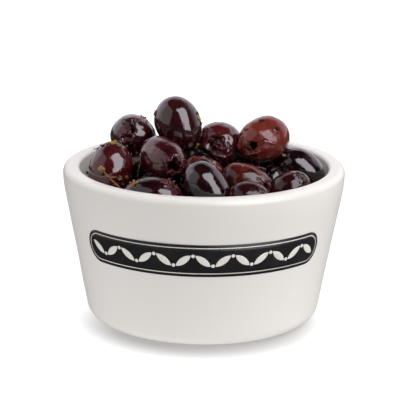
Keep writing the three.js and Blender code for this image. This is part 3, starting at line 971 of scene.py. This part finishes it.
def pucker_skin(olive, points, _, pucker, seed):
    """Gathers the skin into small folds that run to one place."""
    heading, pitch, radius, depth, folds = pucker
    towards, level, distance, facing = around(olive, points, heading, pitch)
    across, up, _ = (level @ turn_to(towards)).T
    angle = np.arctan2(up, across) + 0.35 * waves(points, 3.2, seed)
    ribs = np.abs(np.sin(folds * angle / 2 + seed)) - 0.6
    window = np.exp(-((distance / radius) ** 2)) * smoothstep(0, 0.25 * radius, distance)
    change = depth * window * ribs - 0.5 * depth * window
    return points + towards * np.where(facing, change, 0)[:, None]


# The marks of the skin in their order: the list, what makes one, first seed and seed step.
SKIN_MARKS = (
    (PUCKERS, pucker_skin, 0, 1),
    (HOLLOWS, press_hollow, 70, 1),
    (CREASES, fold_crease, 20, 1),
    (HOLES, tear_hole, 40, 5),
)


def keep_in_dish(points):
    """Draws points that would reach into the dish's wall back to just clear of it."""
    radius = np.hypot(points[:, 0], points[:, 1])
    room = inner_radius(points[:, 2]) - HEAP_GAP
    points[:, :2] *= np.minimum(1, room / np.maximum(radius, 1e-6))[:, None]
    return points


def olive_mesh(name, olive, others, grid, seed):
    """Points of one olive on a grid of directions, and its marks: tone, flesh and painted shade."""
    ways = grid @ olive.turn.T
    for heading, pitch, *_ in (HOLES.get(name, []) + PUCKERS.get(name, []))[:1]:
        local = direction(heading, pitch) @ olive.turn / olive.halves
        ways = gather(ways, olive.turn @ unit(local), HOLE_GATHER)
    own = ways @ olive.turn
    local = own * olive.halves
    local[:, :2] *= (1 - OLIVE_TAPER * own[:, 2])[:, None]
    points = olive.at + local @ olive.turn.T
    normals = unit((own / olive.halves) @ olive.turn.T)
    points = press_together(olive, others, points)
    spot = local + np.array((31, 17, 53)) * seed
    smooth = SMOOTH_SHARE + (1 - SMOOTH_SHARE) * min(1, olive.shrivel)
    height = LUMP[1] * waves(spot, LUMP[0], seed)
    height += smooth * RIPPLE[1] * waves(spot, RIPPLE[0], seed + 1)
    height += smooth * GRAIN[1] * waves(spot, GRAIN[0], seed + 2)
    drawn = spot / (1, 1, WRINKLE_STRETCH)
    ends = 0.25 + 0.75 * np.abs(own[:, 2]) ** 3
    height += olive.shrivel * WRINKLE[1] * ends * waves(drawn, WRINKLE[0], seed + 5)
    points = points + normals * (height - LUMP[1])[:, None]
    # Flesh, and painted shade that darkens holes, hollows and creases.
    marks = {"flesh": np.zeros(len(points)), "deep": np.zeros(len(points))}
    for table, make_mark, first, step in SKIN_MARKS:
        for number, facts in enumerate(table.get(name, [])):
            mark_seed = 100 * seed + first + step * number
            points = make_mark(olive, points, marks, facts, mark_seed)
    marks["tone"] = olive.tone + 0.12 * waves(spot, 8, seed + 6)
    return keep_in_dish(points), marks


def make_olives():
    olives = {
        name: olive_facts(FRONT_GRIDS.get(name, FRONT_GRID), *facts)
        for name, facts in FRONT_OLIVES.items()
    }
    olives.update(ring_olives())
    grids = {steps: cube_sphere(steps) for steps in {olive.steps for olive in olives.values()}}
    batches = {kind: Batch() for kind in OLIVE_COLORS}
    for seed, (name, olive) in enumerate(olives.items(), start=11):
        grid, faces = grids[olive.steps]
        olive.skin, marks = olive_mesh(name, olive, olives.values(), grid, seed)
        batches[olive.kind].add(olive.skin, faces, **marks)
    for kind, batch in batches.items():
        material = olive_material(f"olive_{kind}", *OLIVE_COLORS[kind])
        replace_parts(batch.make(f"olives_{kind}", material, "olive"), "olives")
    return olives


# ---- Herbs ----

def skin_place(olive, towards):
    """The point of an olive's own mesh that lies nearest to a direction from its middle."""
    return olive.skin[np.argmax(unit(olive.skin - olive.at) @ towards)]


def leaf_flake(length, width, seed):
    """A thin curled bit of leaf, closed, lying on the level plane and rising from it."""
    draw = np.random.default_rng(seed)
    curl, twist, cup = draw.uniform(0.6, 1.1), draw.uniform(-0.5, 0.5), draw.uniform(0.1, 0.5)
    columns, rows = FLAKE_GRID
    along, across = np.meshgrid(np.linspace(0, 1, columns), np.linspace(-1, 1, rows), indexing="ij")
    outline = np.sin(math.pi * (0.04 + 0.92 * along)) ** 0.7
    outline = outline * (1 + 0.25 * np.cos(9 * along + 3 * across + seed))
    x = length * (along - 0.5)
    y = width / 2 * across * outline
    z = FLAKE_RISE * (curl * (2 * along - 1) ** 2 + cup * across**2) * 0.6
    z += twist * x * y / length + 0.06 * np.sin(12 * along + 5 * across + seed)
    halves = (FLAKE_HALF_THICKNESS, -FLAKE_HALF_THICKNESS)
    return closed_sheet(*(np.stack((x, y, z + half), axis=-1) for half in halves))


def seed_grain(length, width, seed):
    """A crushed seed: a lumpy grain with flat sides."""
    ways, faces = cube_sphere(GRAIN_GRID)
    points = np.clip(ways, -0.8, 0.8) * (length / 1.9, width / 1.9, FLAKE_RISE * 0.8)
    rough = 0.16 * length * waves(points, 0.8 * length, seed)
    return points + ways * (0.5 * rough)[:, None], faces


def rows_of(table):
    """The rows of a table by olive, in order, each with its olive's name before it."""
    return [(name, *row) for name, rows in table.items() for row in rows]


def make_flakes(batches, olives):
    """Lays the flakes and crumbs on the olives, with grains for the colours of seeds."""
    entries = [(*flake, 0) for flake in rows_of(FLAKES)]
    entries += [(*crumb, CRUMB_SPIN * k) for k, crumb in enumerate(rows_of(CRUMBS))]
    for seed, (name, heading, pitch, length, color, spin) in enumerate(entries, start=900):
        towards = direction(heading, pitch)
        shape = seed_grain if color in SEED_COLORS else leaf_flake
        points, faces = shape(length, length * FLAKE_WIDTH_SHARE, seed)
        own = turn_to(towards) @ np.array(Matrix.Rotation(math.radians(spin), 3, "Z"))
        place = skin_place(olives[name], towards)
        batches[color].add(points @ own.T + place + towards * FLAKE_LIFT, faces)


def tube(path, radii, sides, ribs):
    """Points and faces of a closed, slightly ribbed tube along a path."""
    angles = np.arange(sides) * 2 * math.pi / sides
    loops = []
    for number, (at, radius) in enumerate(zip(path, radii)):
        ahead = path[min(number + 1, len(path) - 1)] - path[max(number - 1, 0)]
        sizes = radius * (1 + ribs * np.cos(5 * angles + 0.3 * number))
        level = np.stack((np.cos(angles) * sizes, np.sin(angles) * sizes, 0 * angles), axis=-1)
        loops.append(at + level @ turn_to(unit(ahead)).T)
    points = np.concatenate(loops)
    ends = [list(range(sides))[::-1], list(range(len(points) - sides, len(points)))]
    return points, ends + ring_faces(len(path), sides)


def make_stem(batch, bud_batch):
    """The stem over the left front olive: a bent stalk, a side twig and a bud."""
    start, middle, end = np.array(STEM_POINTS)
    pull = middle + STEM_PULL * (middle - (start + end) / 2)
    k = np.arange(STALK_STEPS)
    sway = np.stack((np.sin(2.1 * k), np.cos(1.7 * k), np.sin(1.3 * k + 1)), axis=1)
    radii = STEM_RADIUS * (0.72 - 0.006 * k + 0.1 * np.sin(1.9 * k))
    stalk = bezier(start, pull, end, STALK_STEPS) + STALK_SWAY * sway
    batch.add(*tube(stalk, radii, 20, 0.12))
    twig = np.linspace(middle, STEM_TWIG_END, TWIG_STEPS)
    batch.add(*tube(twig, STEM_RADIUS * (0.6 - 0.04 * np.arange(TWIG_STEPS)), 16, 0.1))
    ways, faces = cube_sphere(14)
    lumps = 1 + 0.16 * waves(ways * STEM_BUD_RADIUS, 1.5, 71) + 0.05 * waves(ways, 0.35, 72)
    bud_batch.add(start + ways * lumps[:, None] * STEM_BUD_RADIUS * BUD_SHAPE, faces)
    for number, heading in enumerate(SEPAL_HEADINGS):
        points, faces = leaf_flake(*SEPAL_SIZE, 80 + number)
        towards = direction(heading, SEPAL_PITCH)
        at = start + towards * STEM_BUD_RADIUS * 0.8
        batch.add(points @ turn_to(towards).T + at, faces)


def make_herbs(olives):
    batches = {color: Batch() for color in HERB_COLORS}
    make_flakes(batches, olives)
    make_stem(batches["stem"], batches["bud"])
    for color, batch in batches.items():
        material = herb_material(f"herb_{color}", *HERB_COLORS[color])
        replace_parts(batch.make(f"herb_{color}", material, "herb"), "olives")


# ---- The core under the olives ----

def make_core():
    """A dark lumpy filling that shows only low down between the olives, in the black olives' colour
    with painted shade over it.
    """
    floor = FLOOR_THICKNESS + HEAP_GAP
    edge = CORE_EDGE_HEIGHT - 2

    def wall(height):
        return inner_radius(height) - HEAP_GAP

    side = fillet(FLOOR_FILLET, floor, wall, -90, -WALL_LEAN)
    floor_steps, side_steps, top_steps = CORE_STEPS
    share = np.linspace(1, 0, top_steps + 1)
    top = np.stack((wall(edge) * share, edge + CORE_DOME * (1 - share * share)), axis=1)
    profile = join_runs((0, floor), (floor_steps, side), (side_steps, top))
    points, faces = lathe(profile, CORE_SEGMENTS)
    bumps = sum(size * waves(points, length, 5 + k) for k, (length, size) in enumerate(CORE_BUMPS))
    lifted = smoothstep(CORE_EDGE_HEIGHT - 4, CORE_EDGE_HEIGHT, points[:, 2])
    points[:, 2] += (bumps - CORE_SINK) * lifted
    batch = Batch()
    # Painted shade darkens the whole core a little.
    batch.add(points, faces, tone=0.1, flesh=0.0, deep=0.3)
    piece = batch.make("olives_core", olive_material("olive_core", *OLIVE_COLORS["black"]), "olive")
    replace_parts(piece, "olives")


# ---- Stage, camera and light ----

def make_camera():
    data = bpy.data.cameras.new("camera")
    data.lens = CAMERA_LENS
    camera = add_to_scene("camera", data)
    at = Vector(CAMERA_AT) * MM
    aim = Vector(CAMERA_AIM) * MM
    turn = (aim - at).to_track_quat("-Z", "Y").to_matrix()
    roll = Matrix.Rotation(math.radians(CAMERA_ROLL), 3, "Z")
    camera.matrix_world = Matrix.Translation(at) @ (turn @ roll).to_4x4()
    bpy.context.scene.camera = camera


def make_area_light(name, azimuth, elevation, distance, width, height, brightness):
    data = bpy.data.lights.new(name, "AREA")
    data.shape = "RECTANGLE"
    data.size = width * MM
    data.size_y = height * MM
    data.energy = brightness * math.pi * data.size * data.size_y
    lamp = add_to_scene(name, data)
    place = Vector(direction(azimuth - 90, elevation))
    lamp.location = Vector((0, 0, DISH_HEIGHT * MM)) + place * distance * MM
    lamp.rotation_euler = (-place).to_track_quat("-Z", "Y").to_euler()
    lamp.visible_camera = False
    return lamp


def make_area_lights():
    for name, facts in GLOSS_LIGHTS.items():
        lamp = make_area_light(f"{name}_gloss", *facts)
        lamp.data.color = GLOSS_TINT
        lamp.visible_diffuse = False
    for name, facts in COLOR_LIGHTS.items():
        make_area_light(f"{name}_color", *facts).visible_glossy = False


def make_world():
    """White behind the dish and dark in front of it; the camera itself sees plain white."""
    world = bpy.data.worlds.new("studio")
    bpy.context.scene.world = world
    world.use_nodes = True
    world.node_tree.nodes.clear()
    graph = Graph(world.node_tree, "Generated")
    facing = graph.measure("DOT_PRODUCT", tuple(direction(90, BACKDROP_PITCH)))
    behind = graph.remap(facing, *BACKDROP_EDGE)
    below = graph.remap(graph.height(), *BACKDROP_TOP)
    glow = graph.math("ADD", graph.math("MULTIPLY", behind, below), FRONT_DARK)
    lit = graph.node("Background", Color=BACKDROP_TINT, Strength=glow)
    tent = graph.node("Background", Color=WHITE, Strength=TENT_GLOW)
    seen = graph.node("Background", Color=WHITE, Strength=SEEN_WHITE)
    soft = graph.split_rays("Diffuse", lit, tent)
    graph.node("OutputWorld", graph.split_rays("Camera", soft, seen))


def make_floor():
    """The white table, its look with a painted shadow near the dish, its light on dull surfaces and
    its reflection set apart.
    """
    half = FLOOR_SIZE / 2 * MM
    mesh = bpy.data.meshes.new("floor")
    corners = [(-half, -half, 0), (half, -half, 0), (half, half, 0), (-half, half, 0)]
    mesh.from_pydata(corners, [], [(0, 1, 2, 3)])
    material, graph, shader = new_material("white_table")
    away = graph.measure("DISTANCE", SHADOW_MIDDLE)
    feed(shader, Base_Color=FLOOR_COLOR, Roughness=0.7)
    # Painted shadow: the glow is weak near the shadow's middle and full further off.
    feed(shader, Emission_Color=WHITE, Emission_Strength=graph.remap(away, *FLOOR_GLOW_AND_PAINTED_SHADOW))
    bounce = graph.node("Emission", Strength=graph.remap(away, *FLOOR_BOUNCE))
    dull = graph.split_rays("Diffuse", shader, bounce)
    sheen = graph.node("Emission", Strength=FLOOR_SHEEN)
    output = material.node_tree.nodes["Material Output"]
    feed(output, Surface=graph.split_rays("Glossy", dull, sheen))
    mesh.materials.append(material)
    floor = add_to_scene("floor", mesh)


make_camera()
make_world()
make_area_lights()
make_floor()
make_dish()
make_band()
make_core()
make_herbs(make_olives())
bpy.context.scene.view_settings.view_transform = "Standard"
